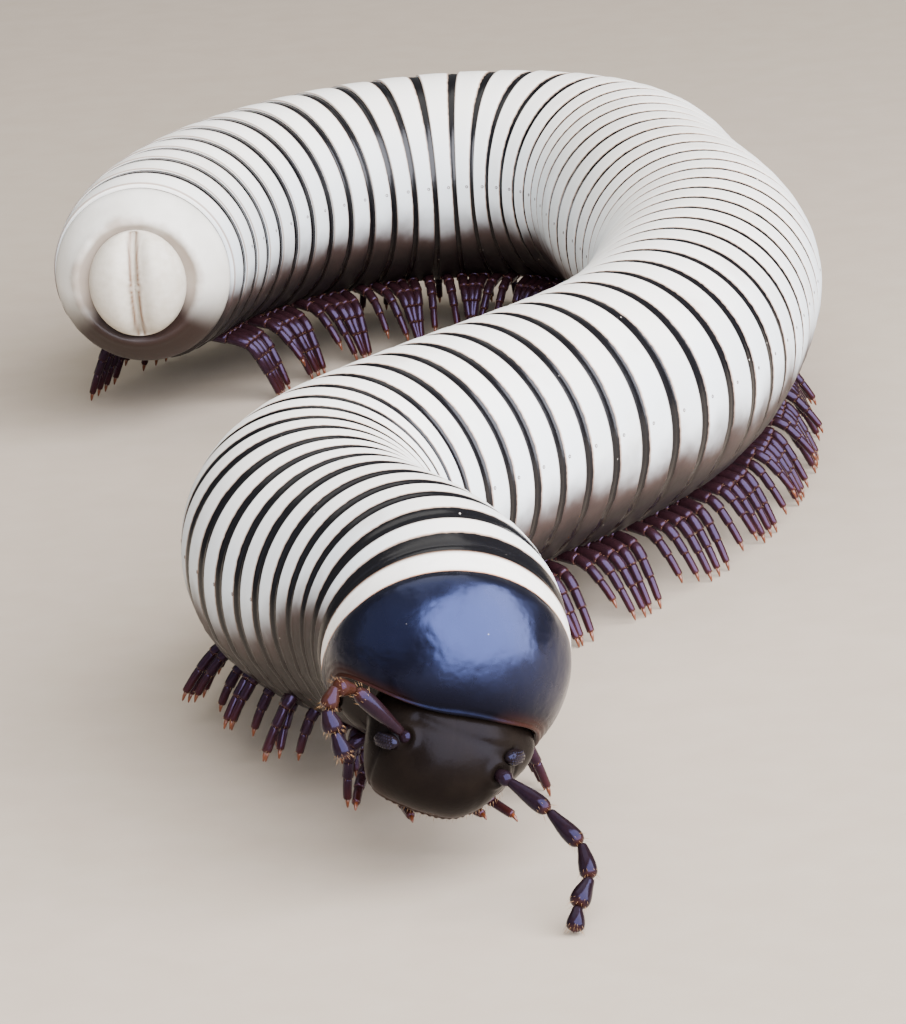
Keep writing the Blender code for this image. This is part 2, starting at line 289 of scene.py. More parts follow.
# Inputs go by name or number. A mix has its share at 0 and its colours at 6 and 7. A range has its value at 0,
# that value's two ends at 1 and 2, and what it gives at them at 3 and 4
mainOutput = {"Mix": 2, "Attribute": 2, "TexCoord": 3}  # the output used, where it isn't the first
usual = {"Mix": {"data_type": "RGBA"}}  # each mix is one of colours
smooth = {"interpolation_type": "SMOOTHSTEP"}


def addNode(tree, kind, inputs=None, **settings):
    node = tree.nodes.new("ShaderNode" + kind)
    for name, value in {**usual.get(kind, {}), **settings}.items():
        setattr(node, name, value)
    fillInputs(tree, node, inputs or {})
    return node.outputs[mainOutput.get(kind, 0)]


# Each material starts with its place on the object, a fine grain of a size in mm, and the piece's fields
def newMaterial(name, grain, detail, *fields):
    material = bpy.data.materials.new(name)
    material.use_nodes = True
    tree = material.node_tree
    place = addNode(tree, "TexCoord")
    fine = addNode(tree, "TexNoise", {"Vector": place, "Scale": 1 / (grain * mm), "Detail": detail})
    read = [addNode(tree, "Attribute", attribute_name=field) for field in fields]
    return [material, tree, tree.nodes["Principled BSDF"], place, fine, *read]


# A plain material: two tones that the fine grain mixes
def twoToneMaterial(name, grain, detail, tones, finish):
    material, tree, shader, _, fine = newMaterial(name, grain, detail)
    colour = addNode(tree, "Mix", {0: fine, 6: tones[0], 7: tones[1]})
    fillInputs(tree, shader, {"Base Color": colour, **finish})
    return material


# Specks of dust and earth over a colour, in few of the cells of a mesh that is spacing mm wide
def withSpecks(tree, place, colour, tone, spacing, size, strength, patches, rare):
    cells = addNode(tree, "TexVoronoi", {"Vector": place, "Scale": 1 / (spacing * mm)})
    speck = addNode(tree, "MapRange", {0: cells, 1: size, 2: 2 * size, 3: strength, 4: 0.0})
    some = addNode(tree, "MapRange", {0: patches, 1: rare[0], 2: rare[1]})
    share = addNode(tree, "Math", {0: speck, 1: some}, operation="MULTIPLY")
    return addNode(tree, "Mix", {0: share, 6: colour, 7: tone})


# Trunk: one skin over all the rings, each with a dark front, a furrow and an ivory rear
trunk = {
    "around": 96,
    "profile": (  # share of a ring, and height in mm over its mean radius
        (-0.03, -0.16), (0.03, -0.13), (0.10, -0.11), (0.17, -0.09), (0.21, -0.13), (0.25, -0.05),
        (0.36, 0.0), (0.55, 0.03), (0.75, 0.03), (0.90, 0.03), (0.955, 0.05), (0.985, 0.02), (1.0, -0.04),
    ),
    "darkAt": (1, 2, 3, 4, 9, 14, 24, 64),
    "dark": (0.52, 0.4, 0.38, 0.37, 0.36, 0.3, 0.25, 0.22),  # dark front share of a ring
    # Ring and height of the rows that close both ends, under the collum and the telson
    "ends": ((0.86, -3.0), (0.88, -0.6), (64.02, -0.5), (64.04, -3.0)),
    "bellyFlat": 0.45,  # mm taken off at the belly
    "bellyAt": (163, 176),  # degrees from the top
    "furrows": 26,  # fine lines along the low flanks, if they went all round
    "furrowHeight": 0.035,
    "furrowsAt": (95, 115),
    # Painted shade: near the head the grey, brown and dark belly colours climb higher up the flank
    "shadeRiseNearHead": 26,  # degrees that the brown reaches higher behind the head
    "ivory": "#efebdf",
    # Painted shade: the cool grey that the ivory turns towards down the flanks
    "flankShade": "#cdd6d8",
    "lower": "#41322d",
    "belly": "#140d0b",
    "black": "#0b0a0c",
    "edge": "#8a5a2c",
    "dust": "#d8cfc0",
}


def makeRingCuticle():
    # Chitin stiffened with lime and sealed with wax: an ivory as close as enamel, under a soft gloss
    material, tree, shader, place, fine, band, rim, flank, tint = newMaterial(
        "calcified ring cuticle", 0.5, 3.0, "band", "rim", "flank", "tint"
    )
    broad = addNode(tree, "TexNoise", {"Vector": place, "Scale": 1 / (6 * mm), "Detail": 4.0})
    rare = addNode(tree, "TexNoise", {"Vector": place, "Scale": 1 / (3 * mm), "Detail": 1.0})
    wobble = addNode(tree, "Math", {0: fine, 1: 0.16, 2: -0.08}, operation="MULTIPLY_ADD")
    edge = addNode(tree, "Math", {0: band, 1: wobble}, operation="ADD")
    drift = addNode(tree, "Math", {0: broad, 1: 34.0, 2: -17.0}, operation="MULTIPLY_ADD")
    level = addNode(tree, "Math", {0: flank, 1: drift}, operation="ADD")
    # Each row is a name and a range's inputs, in mm along a ring or degrees down the flank
    share = {
        part: addNode(tree, "MapRange", dict(enumerate(row)), **smooth)
        for part, *row in (
            ("ivory", edge, -0.04, 0.07, 0.0, 1.0), ("edge", edge, 0.06, 0.2, 0.75, 0.0),
            # The grey share down the flank, in the next line, is painted shade
            ("rim", rim, 0.05, 0.2, 0.7, 0.0), ("flankShade", level, 25.0, 85.0, 0.0, 0.8),
            ("lower", level, 88.0, 114.0, 0.0, 1.0), ("belly", level, 102.0, 126.0, 0.0, 1.0),
            ("stain", broad, 0.56, 0.78, 0.0, 0.28),
        )
    }
    shade = addNode(tree, "Math", {0: tint, 1: 0.16}, operation="MULTIPLY")  # no two rings quite alike
    # Down the flanks the ivory turns a cool grey, which is painted shade, then gives way to brown and to a near
    # black belly
    pale = trunk["ivory"]
    for amount, tone in (
        (share["flankShade"], trunk["flankShade"]), (shade, "#b9b09c"), (share["stain"], "#b39f84"),
        (share["edge"], trunk["edge"]), (share["rim"], "#6f4c2a"), (share["lower"], trunk["lower"]),
    ):
        pale = addNode(tree, "Mix", {0: amount, 6: pale, 7: tone})
    colour = addNode(tree, "Mix", {0: share["ivory"], 6: trunk["black"], 7: pale})
    colour = addNode(tree, "Mix", {0: share["belly"], 6: colour, 7: trunk["belly"]})
    colour = withSpecks(tree, place, colour, trunk["dust"], 1.3, 0.03, 0.9, rare, (0.52, 0.6))
    rough = addNode(tree, "MapRange", {0: share["ivory"], 3: 0.18, 4: 0.44})
    worn = addNode(tree, "Math", {0: fine, 1: 0.12, 2: rough}, operation="MULTIPLY_ADD")
    bump = addNode(tree, "Bump", {"Height": fine, "Distance": 0.02 * mm, "Strength": 0.6})
    fillInputs(tree, shader, {
        "Base Color": colour, "Roughness": worn, "IOR": 1.52, "Specular IOR Level": 0.27,
        "Subsurface Weight": 0.06, "Subsurface Radius": (0.0012, 0.0008, 0.0005), "Subsurface Scale": 1.0,
        "Normal": bump,
    })
    return material


def buildTrunk():
    rows, fields = [], {"band": [], "rim": [], "flank": [], "tint": []}
    count = trunk["around"]
    degrees = (np.arange(count) + 0.5) * 360 / count - 180
    flank = np.abs(degrees)
    chance = random.Random(5)

    def addLoop(ring, lift, band=-1.0, rim=2.0, tint=0.0):
        centre, _, side, up = frameAt(ring)
        hollow = trunk["bellyFlat"] * smoothStep(*trunk["bellyAt"], flank)
        lines = trunk["furrowHeight"] * np.sin(np.radians(flank) * trunk["furrows"])
        lines = lines * smoothStep(*trunk["furrowsAt"], flank) * smoothStep(-0.25, 0, lift)
        radius = (radiusAt(ring) + lift - hollow + lines)[:, None]
        rows.append(centre + radius * turned(up, side, np.radians(degrees)))
        # Behind the head the flank colours are moved up, painted shade on the near flank
        level = flank + trunk["shadeRiseNearHead"] * (1 - smoothStep(1, 10, ring))
        for name, value in (("band", band), ("rim", rim), ("flank", level), ("tint", tint)):
            fields[name].append(np.broadcast_to(value, count))

    for ring, lift in trunk["ends"][:2]:
        addLoop(ring, lift)
    for ring in range(1, pose["lastRing"]):
        pitch = valueAt(pose, "pitch", ring)
        dark = valueAt(trunk, "dark", ring)
        tint = chance.random()
        for share, lift in trunk["profile"]:
            addLoop(ring + share, lift, (share - dark) * pitch, (1 - share) * pitch, tint)
    for ring, lift in trunk["ends"][2:]:
        addLoop(ring, lift)
    nodes = ["trunk_%d" % (i + 1) for i in range(9)]
    addPiece("trunk_skin", skinShape(rows, **fields), makeRingCuticle(), nodes)


buildTrunk()


# Ozopores: the small dark craters of the stink glands along each flank
ozopores = {
    "firstRing": 6,
    "share": 0.42,  # of a ring
    "angle": 84.0,  # degrees from the top
    "radius": 0.14,
    "sunk": 0.06,
    "crater": ((1.1, -0.03), (0.9, 0.09), (0.6, 0.1), (0.35, 0.02)),
    "sides": 10,
}


def makePoreCuticle():
    # Bare sclerotised chitin round a gland pore: brown black with a wet gloss
    return twoToneMaterial(
        "sclerotised pore rim", 0.3, 2.0, ("#1a0f0a", "#5a3a22"), {"Roughness": 0.28, "IOR": 1.56}
    )


def buildOzopores():
    shape = newShape()
    for ring in range(ozopores["firstRing"], pose["lastRing"] - 1):
        centre, axis, side, up = frameAt(ring + ozopores["share"])
        for hand in (-1, 1):
            out = turned(up, side * hand, math.radians(ozopores["angle"]))
            spot = centre + out * (radiusAt(ring + ozopores["share"]) - ozopores["sunk"])
            across, rise = axis * ozopores["radius"], np.cross(out, axis) * ozopores["radius"]
            addBead(shape, spot, across, rise, out, ozopores["crater"], ozopores["sides"])
    addPiece("ozopores", shape, makePoreCuticle())


buildOzopores()


# Collum: the neck shield, a thin dome that ends in a beaded margin over the head
collum = {
    "columns": 121,
    "rows": 44,
    "middle": -1.2,
    "half": (7.3, 7.72, 7.85),  # ahead, sideways and up, mm
    "rearRings": (0.965, 0.82, 0.66, 0.53, 0.4),  # where its rear lies over the first ring
    "rearLift": 0.03,
    "domeTurns": range(9, 90, 4),  # degrees forwards over the dome
    # Where each side is cut off, as distance ahead and height, mm
    "leftCut": (
        (-5, -6.2), (-1.2, -5.6), (1.2, -4.7), (2.9, -2.3), (4.05, -0.2), (5.42, 1.2), (5.88, 1.85), (14, 4.6),
    ),
    "rightCut": (
        (-5, -6.2), (-1.2, -5.6), (0.1, -4.4), (1.1, -1.6), (1.9, 0.6), (3.6, 1.4), (5.88, 1.85), (14, 4.6),
    ),
    "cutBlend": 0.7,  # radians either side of the top over which one cut becomes the other
    # Height, distance from the edge and width, mm, at the front margin, its sides and the rear
    "marginRidges": ((0.06, 0.1, 0.14), (-0.07, 0.4, 0.13)),
    "sideRidges": ((-0.06, 0.95, 0.13), (-0.05, 1.5, 0.13)),
    "rearRidges": ((0.03, 0.1, 0.1),),
    "sidesAt": (70, 100),  # degrees from the top over which the side ridges rise
    "thick": (0.2, 0.34),  # at the rear and over the dome
    "thickAt": (0.0, 3.0),  # mm from the rear over which it thickens
    "bead": 0.12,
    "bandAt": (0, 60, 90, 107, 180),
    "band": (2.35, 2.15, 1.2, 0.0, -0.4),  # ivory width in mm at that many degrees from the top
    "black": "#08070a",
    "brown": "#29140a",
    "ivory": "#f1ecdf",
    "dust": "#b8b0a4",
}


def makeCollumCuticle():
    # Heavily sclerotised chitin, almost black and waxed smooth, thin and brown where light passes its margin
    material, tree, shader, place, fine, band, fore, rear, flank = newMaterial(
        "polished black collum cuticle", 0.4, 3.0, "band", "fore", "rear", "flank"
    )
    broad = addNode(tree, "TexNoise", {"Vector": place, "Scale": 1 / (3 * mm), "Detail": 3.0})
    wobble = addNode(tree, "Math", {0: fine, 1: 0.1, 2: -0.05}, operation="MULTIPLY_ADD")
    edge = addNode(tree, "Math", {0: band, 1: wobble}, operation="ADD")
    # Each row is a name and a range's inputs; the gloss is high over the dome and dulls towards the margin
    share = {
        part: addNode(tree, "MapRange", dict(enumerate(row)), **smooth)
        for part, *row in (
            ("black", edge, -0.02, 0.06, 0.0, 1.0), ("edge", edge, -0.22, -0.04, 0.0, 0.85),
            ("rear", rear, 0.05, 0.22, 0.9, 0.0), ("margin", fore, 0.2, 1.9, 0.9, 0.0),
            ("side", flank, 45.0, 85.0, 0.0, 1.0), ("gloss", fore, 0.5, 4.2, 0.1, 0.62),
        )
    }
    pale = addNode(tree, "Mix", {0: share["edge"], 6: collum["ivory"], 7: "#b06a2c"})
    pale = addNode(tree, "Mix", {0: share["rear"], 6: pale, 7: "#7a4a22"})
    thin = addNode(tree, "Math", {0: share["margin"], 1: share["side"]}, operation="MULTIPLY")
    dark = addNode(tree, "Mix", {0: thin, 6: collum["black"], 7: collum["brown"]})
    colour = addNode(tree, "Mix", {0: share["black"], 6: pale, 7: dark})
    colour = withSpecks(tree, place, colour, collum["dust"], 2.1, 0.012, 0.6, broad, (0.46, 0.52))
    rough = addNode(tree, "MapRange", {0: broad, 1: 0.3, 2: 0.7, 3: 0.2, 4: 0.36})
    low = addNode(tree, "Bump", {"Height": broad, "Distance": 0.2 * mm, "Strength": 0.8})
    bump = addNode(tree, "Bump", {"Height": fine, "Distance": 0.01 * mm, "Strength": 0.4, "Normal": low})
    fillInputs(tree, shader, {
        "Base Color": colour, "Roughness": rough, "IOR": 1.55, "Specular IOR Level": share["gloss"],
        "Specular Tint": "#97abff", "Normal": bump,
    })
    return material


# One line over the shield, from its rear edge forwards, and the number of the point where it is cut off
def collumColumn(angle):
    centre, axis, side, up = frameAt(0)
    points = []
    for ring in collum["rearRings"]:
        middle, _, across, rise = frameAt(ring)
        points.append(middle + (radiusAt(ring) + collum["rearLift"]) * turned(rise, across, angle))
    ahead, wide, tall = collum["half"]
    for turn in np.radians(collum["domeTurns"]):
        forward = collum["middle"] + ahead * math.sin(turn)
        points.append(centre - axis * forward + math.cos(turn) * turned(up * tall, side * wide, angle))
    path = curveThrough(points, 260)
    away = path - centre
    leftCut, rightCut = (np.interp(away @ -axis, *zip(*collum[name])) for name in ("leftCut", "rightCut"))
    leftShare = smoothStep(-collum["cutBlend"], collum["cutBlend"], angle)
    kept = away @ up > leftShare * leftCut + (1 - leftShare) * rightCut
    return path, len(path) - 1 if kept.all() else int(np.argmin(kept))


def buildCollum():
    limits = []
    for hand in (-1, 1):
        angle = 100.0
        while collumColumn(math.radians(angle * hand))[1] > 6 and angle < 170:
            angle += 0.5
        limits.append(angle * hand)
    degrees = np.linspace(*limits, collum["columns"])
    paths, ends = zip(*(collumColumn(math.radians(d)) for d in degrees))
    ends = smoothed(np.array(ends, float), 4)
    rows = collum["rows"]
    share = 1 - (1 - np.linspace(0, 1, rows)) ** 1.5  # closer together towards the margin
    grid = np.empty((collum["columns"], rows, 3))
    rear = np.empty(grid.shape[:2])
    for i, path in enumerate(paths):
        for k in range(3):
            grid[i, :, k] = np.interp(share * ends[i], np.arange(len(path)), path[:, k])
        rear[i] = share * ends[i] * np.linalg.norm(path[1] - path[0])
    fore = rear[:, -1:] - rear
    flank = np.abs(np.repeat(degrees[:, None], rows, axis=1))
    normal = unit(np.cross(np.gradient(grid, axis=0), np.gradient(grid, axis=1)))
    if np.sum(normal[:, 0] * (grid[:, 0] - frameAt(0.9)[0])) < 0:
        normal = -normal
    lift = ridges(fore, collum["marginRidges"]) + ridges(rear, collum["rearRidges"])
    lift = lift + smoothStep(*collum["sidesAt"], flank) * ridges(fore, collum["sideRidges"])
    outer = grid + normal * lift[:, :, None]
    thin, thick = collum["thick"]
    inner = grid - normal * (thin + (thick - thin) * smoothStep(*collum["thickAt"], rear))[:, :, None]
    ahead = unit(grid[:, -1] - grid[:, -3])
    bead = (outer[:, -1] + inner[:, -1]) / 2 + ahead * collum["bead"]
    sheet = np.concatenate([outer, bead[:, None], inner[:, ::-1]], axis=1)  # out over the margin and back
    band = rear - valueAt(collum, "band", flank)
    fields = {
        name: np.concatenate([field, field[:, -1:], field[:, ::-1]], axis=1)
        for name, field in (("fore", fore), ("rear", rear), ("flank", flank), ("band", band))
    }
    addPiece("collum_shield", skinShape(sheet, **fields), makeCollumCuticle(), ["collum"])


buildCollum()


# Head: a rounded capsule with cheeks, a lipped front margin, sockets and seams
head = {
    "middle": (3.8, -2.4),  # ahead and up from the collum's centre, mm
    "half": (5.0, 5.2, 4.0),
    "cells": 56,  # grid cells along a side of the starting block
    # Directions are ahead, side and up, and each pit has a depth; heights are in mm, widths as shares
    "sockets": {"left": ((0.736, 0.631, 0.245), 0.05), "right": ((0.567, -0.643, 0.515), 0.25)},
    "socketRim": (0.14, 0.16, 0.05),  # height, distance out and width
    "socketWidth": 0.11,
    "shape": (  # direction, height in mm and width
        ((-0.08, -0.99, -0.1), -0.4, 0.3), ((0.45, -0.78, -0.45), 0.4, 0.3), ((0.5, 0.84, -0.25), -0.42, 0.34),
        ((0.0, 0.98, 0.15), 0.5, 0.32), ((0.82, 0.21, -0.54), 0.15, 0.25), ((0.1, 0.9, -0.4), 0.15, 0.4),
        ((0.82, 0.0, 0.15), -0.12, 0.4), ((0.35, 0.0, 0.94), 0.25, 0.5), ((0.2, -0.6, 0.75), 0.2, 0.4),
        ((0.2, 0.6, 0.75), 0.2, 0.4),
    ),
    # Seams: directions along each, its depth and width, how dark it is and whether both sides have it
    "seams": {
        "crown": (((0.35, 0, 0.94), (0.62, 0, 0.78), (0.84, 0, 0.54), (0.97, 0, 0.2)), 0.02, 0.03, 0.1, False),
        "crease": (
            ((0.42, -0.5, 0.75), (0.6, -0.15, 0.78), (0.66, 0.25, 0.71), (0.6, 0.55, 0.58), (0.42, 0.8, 0.42)),
            0.13, 0.085, 0.1, False,
        ),
        "cheek": (
            ((0.42, 0.8, 0.42), (0.5, 0.84, 0.1), (0.46, 0.82, -0.3), (0.36, 0.7, -0.6)), 0.08, 0.03, 0.6, True,
        ),
        "face": (((0.85, 0.42, 0.1), (0.84, 0.4, -0.25), (0.72, 0.42, -0.55)), 0.02, 0.05, 0.1, True),
        "chin": (((0.3, 0.0, -0.95), (-0.1, 0.0, -0.99), (-0.5, 0.0, -0.87)), 0.14, 0.03, 1.0, False),
        "jaw": (((0.28, 0.4, -0.87), (-0.1, 0.36, -0.93), (-0.45, 0.3, -0.84)), 0.14, 0.03, 1.0, True),
    },
    "lip": (
        (0.32, 0.84, -0.44), (0.5, 0.7, -0.5), (0.65, 0.48, -0.57), (0.76, 0.2, -0.61), (0.78, 0.0, -0.6),
        (0.76, -0.2, -0.61), (0.65, -0.48, -0.57), (0.5, -0.7, -0.5), (0.32, -0.84, -0.44),
    ),
    "lipRidge": (0.1, 0, 0.06),
    "lipBrown": (0.7, 0, 0.22),  # share of brown at the lip, and how wide it fades
    "underLip": 0.35,  # how far the mouthparts lie behind the lip
    "toothRidge": (0.09, 0, 0.04),
    "toothPitch": 0.09,
    "toothWidth": 0.026,
    "teethTo": 0.62,
    "dark": "#0d0907",
    "satin": "#15100b",
    "brown": "#2a160c",
}


def makeHeadCuticle():
    # Thick sclerotised chitin, tanned brown black, satin from fine wear, thinner and brown at the lip
    material, tree, shader, place, fine, lip, seam = newMaterial("tanned head cuticle", 0.3, 4.0, "lip", "seam")
    broad = addNode(tree, "TexNoise", {"Vector": place, "Scale": 1 / (2 * mm), "Detail": 3.0})
    spread = addNode(tree, "MapRange", {0: broad, 1: 0.35, 2: 0.75, 4: 0.7})
    colour = head["dark"]
    for share, tone in ((spread, head["satin"]), (lip, head["brown"]), (seam, "#070505")):
        colour = addNode(tree, "Mix", {0: share, 6: colour, 7: tone})
    rough = addNode(tree, "MapRange", {0: broad, 1: 0.3, 2: 0.7, 3: 0.24, 4: 0.38})
    low = addNode(tree, "Bump", {"Height": broad, "Distance": 0.07 * mm, "Strength": 0.5})
    bump = addNode(tree, "Bump", {"Height": fine, "Distance": 0.02 * mm, "Strength": 0.5, "Normal": low})
    fillInputs(tree, shader, {
        "Base Color": colour, "Roughness": rough, "IOR": 1.5, "Specular IOR Level": 0.055,
        "Specular Tint": "#dcdcf4", "Normal": bump,
    })
    return material


def headFrame():
    centre, axis, side, up = frameAt(0)
    middle = centre - axis * head["middle"][0] + up * head["middle"][1]
    return middle, -axis, side, up


def nearLine(directions, points):
    line = unit(curveThrough(points, 60))
    return np.sqrt(np.maximum(2 - 2 * directions @ line.T, 0)).min(1)


# Height in mm over the plain capsule, and how much lip and seam there is, for each direction
def headLift(directions):
    ahead, side, up = directions.T
    toward = lambda spot: np.linalg.norm(directions - unit(np.array(spot)), axis=1)
    lift = sum(height * bell(toward(spot), 0, width) for spot, height, width in head["shape"])
    for spot, pit in head["sockets"].values():
        lift = lift + ridges(toward(spot), (head["socketRim"], (-pit, 0, head["socketWidth"])))
    seam = np.zeros(len(directions))
    for path, depth, width, stain, paired in head["seams"].values():
        for hand in (1, -1)[:1 + paired]:
            near = bell(nearLine(directions, np.array(path) * (1, hand, 1)), 0, width)
            lift = lift - depth * near
            seam = np.maximum(seam, near * stain)
    lipAway = nearLine(directions, head["lip"])
    _, lipSide, lipUp = zip(*reversed(head["lip"]))
    below = smoothStep(0.0, 0.05, np.interp(side, lipSide, lipUp) - up) * smoothStep(0.0, 0.25, ahead)
    half = head["toothPitch"] / 2
    teeth = bell(np.mod(side + half, 2 * half) - half, 0, head["toothWidth"]) * (np.abs(side) < head["teethTo"])
    lift = lift + ridges(lipAway, [head["lipRidge"]]) - head["underLip"] * below
    lift = lift + teeth * ridges(lipAway, [head["toothRidge"]])
    return lift, ridges(lipAway, [head["lipBrown"]]), seam


def buildHead():
    work = bmesh.new()
    bmesh.ops.create_cube(work, size=2.0)
    bmesh.ops.subdivide_edges(work, edges=work.edges[:], cuts=head["cells"], use_grid_fill=True)
    block = np.array([v.co[:] for v in work.verts])
    faces = [tuple(v.index for v in f.verts) for f in work.faces]
    work.free()
    directions = unit(np.tan(block * math.pi / 4))
    lift, lip, seam = headLift(directions)
    reach = 1 / np.linalg.norm(directions / np.array(head["half"]), axis=1)
    middle, ahead, side, up = headFrame()
    points = middle + (directions * (reach + lift)[:, None]) @ np.array([ahead, side, up])
    shape = {"points": points, "faces": faces, "fields": {"lip": lip, "seam": seam}}
    addPiece("head_capsule", shape, makeHeadCuticle(), ["head"])


# A point over the plain capsule, and the way it faces
def onHead(direction, lift):
    middle, ahead, side, up = headFrame()
    d = unit(np.array(direction, float))
    out = d[0] * ahead + d[1] * side + d[2] * up
    return middle + out * (1 / np.linalg.norm(d / np.array(head["half"])) + lift), out


buildHead()


# Eyes: a small field of ocelli on each side, in rows, on a low cushion
eyes = {
    "direction": (0.5, 0.78, 0.36),
    "half": (0.92, 0.52),  # mm
    "slant": 25,  # degrees
    "cushion": ((1.02, -0.1), (1.0, 0.12), (0.93, 0.3), (0.78, 0.42), (0.5, 0.5), (0.2, 0.53)),
    "groundAt": (0.2, 0.5, 0.78, 0.93),
    "ground": (0.5, 0.47, 0.39, 0.27),  # where the lenses sit on the cushion, mm
    "spacing": 0.19,
    "radius": 0.095,
    "lens": ((1.0, -0.03), (0.86, 0.015), (0.5, 0.04), (0.12, 0.05)),
}


def makeEyeLens():
    # Clear chitin lenses over dark pigment: small wet highlights on black
    return twoToneMaterial("ocellus lens", 0.2, 2.0, ("#040405", "#1c1414"), {
        "Roughness": 0.18, "IOR": 1.5, "Specular IOR Level": 0.2, "Specular Tint": "#a9b4ff",
    })


def buildEyes():
    material = makeEyeLens()
    wide, tall = eyes["half"]
    for name, hand in (("left", 1), ("right", -1)):
        spot, out = onHead(np.array(eyes["direction"]) * (1, hand, 1), 0.1)
        level = unit(np.cross(out, headFrame()[3]))
        steep = np.cross(level, out)
        slant = math.radians(eyes["slant"] * hand)
        across, rise = turned(level, steep, slant), turned(steep, level, -slant)
        shape = newShape()
        addBead(shape, spot, across * wide, rise * tall, out, eyes["cushion"], 28)
        for row in range(-3, 4):
            for column in range(-5, 6):
                x = (column + 0.5 * (row % 2)) * eyes["spacing"]
                y = row * eyes["spacing"] * 0.87  # each row sits in the gaps of the last
                far = math.hypot(x / wide, y / tall)
                if far > eyes["groundAt"][-1]:
                    continue
                foot = spot + x * across + y * rise + out * valueAt(eyes, "ground", far)
                addBead(shape, foot, across * eyes["radius"], rise * eyes["radius"], out, eyes["lens"], 8)
        addPiece("ocelli_" + name, shape, material, ["eye_" + name])


buildEyes()


# Bristles: the fringes of the feelers and legs gather here, and are built after them
bristles = {
    "width": 0.016,
    "rootAt": 0.92,  # share of a joint's radius, so that a hair is sunk a little into it
    "stray": 0.6,  # from its even place round the joint
    "outward": (0.45, 0.3),  # lean and how much it varies, beside the forward lean
    "forward": 0.85,
    "length": (0.7, 0.5),  # share of the length given, and how much it varies
    "patch": 0.0035,  # unwrap spacing
    "lipWidth": 0.025,
    "lipLength": (0.26, 0.16),
    "lipCount": 46,
    "lipLean": (0.4, 0.9, 0.2),  # outwards, down and forwards
    "lipStray": 0.4,
}
hairs = newShape()


def varied(name, chance):
    least, spread = bristles[name]
    return least + spread * chance.random()


# Hairs round a joint; patch is their place on the unwrap
def fringe(centre, ahead, radius, count, length, chance, patch):
    side = unit(np.cross(ahead, (0.2, 0.31, 0.93)))
    rise = np.cross(ahead, side)
    for k in range(count):
        out = turned(side, rise, 2 * math.pi * (k + chance.random() * bristles["stray"]) / count)
        root = centre + out * radius * bristles["rootAt"]
        lean = out * varied("outward", chance) + ahead * bristles["forward"]
        tip = root + lean * length * varied("length", chance)
        spot = (patch[0] + bristles["patch"] * (k % 4), patch[1] + bristles["patch"] * (k // 4))
        addHair(hairs, root, tip, bristles["width"], spot)


# Antennae: club-shaped joints with fringed ends, from the socket to the sensory tip
antennae = {
    # Ends of the joints, mm from the head end of the centreline
    "left": ((3.0, -6.3, 7.8), (5.6, -8.2, 6.06), (7.38, -9.8, 4.36), (7.69, -11.5, 2.75), (6.8, -12.9, 1.5),
             (6.5, -13.9, 0.34)),
    "right": ((-2.79, -5.9, 10.71), (-5.77, -7.0, 14.4), (-6.9, -7.9, 14.9), (-7.5, -8.5, 13.7),
              (-7.1, -8.9, 12.3), (-6.6, -9.3, 10.8)),
    # The right feeler's paler joints are painted light shining through them; the cones' tan is their own colour
    "tan": {"left": (0, 0, 0, 0, 0), "right": (0.1, 0.9, 0.8, 0.1, 0)},  # paler joints
    "radii": (0.56, 0.58, 0.58, 0.66, 0.58),
    "profile": ((0.0, 0.46), (0.05, 0.55), (0.14, 0.62), (0.27, 0.72), (0.42, 0.86), (0.57, 0.96), (0.7, 1.0),
                (0.81, 0.99), (0.89, 0.9), (0.95, 0.72), (0.985, 0.5), (1.0, 0.3)),
    "fringes": ((0.8, 1.0, 0.34), (0.95, 0.85, 0.42)),  # share of the joint and of its radius, and length
    "hairs": 12,
    "bow": 0.05,  # bend of a joint, mm
    "filled": 0.97,  # share of its length that a joint fills
    "sides": 18,
    "knobShare": 0.1,  # of the first joint
    # Places and radii, mm: of the knob in and out of its socket, and along each sensory cone
    "knob": ((-0.6, 0.4), (-0.3, 0.46), (0.0, 0.52), (0.25, 0.46), (0.5, 0.26)),
    "cone": ((0.0, 0.075), (0.1, 0.06), (0.17, 0.02)),
    "coneAt": (0.13, 0.12),  # from the middle of the tip, and sunk into it, mm
}


def makeAntennaCuticle():
    # Thin sclerotised chitin, purple brown, redder and paler where each joint ends
    material, tree, shader, _, fine, rim, tan = newMaterial(
        "purple brown antenna cuticle", 0.3, 3.0, "rim", "tan"
    )
    rimShare = addNode(tree, "MapRange", {0: rim, 1: 0.86, 2: 1.0, 4: 0.5})
    # The tan share paints light shining through the right feeler's thin joints, and gives the cones their own
    # tan
    tanAndLitShare = addNode(tree, "Math", {0: tan, 1: 0.8}, operation="MULTIPLY")
    colour = "#0f090c"
    for share, tone in ((fine, "#1c1014"), (rimShare, "#3f2112"), (tanAndLitShare, "#331b0e")):
        colour = addNode(tree, "Mix", {0: share, 6: colour, 7: tone})
    bump = addNode(tree, "Bump", {"Height": fine, "Distance": 0.02 * mm, "Strength": 0.5})
    fillInputs(tree, shader, {
        "Base Color": colour, "Roughness": 0.15, "IOR": 1.55, "Specular IOR Level": 0.16,
        "Specular Tint": "#a9b0ff", "Normal": bump,
    })
    return material


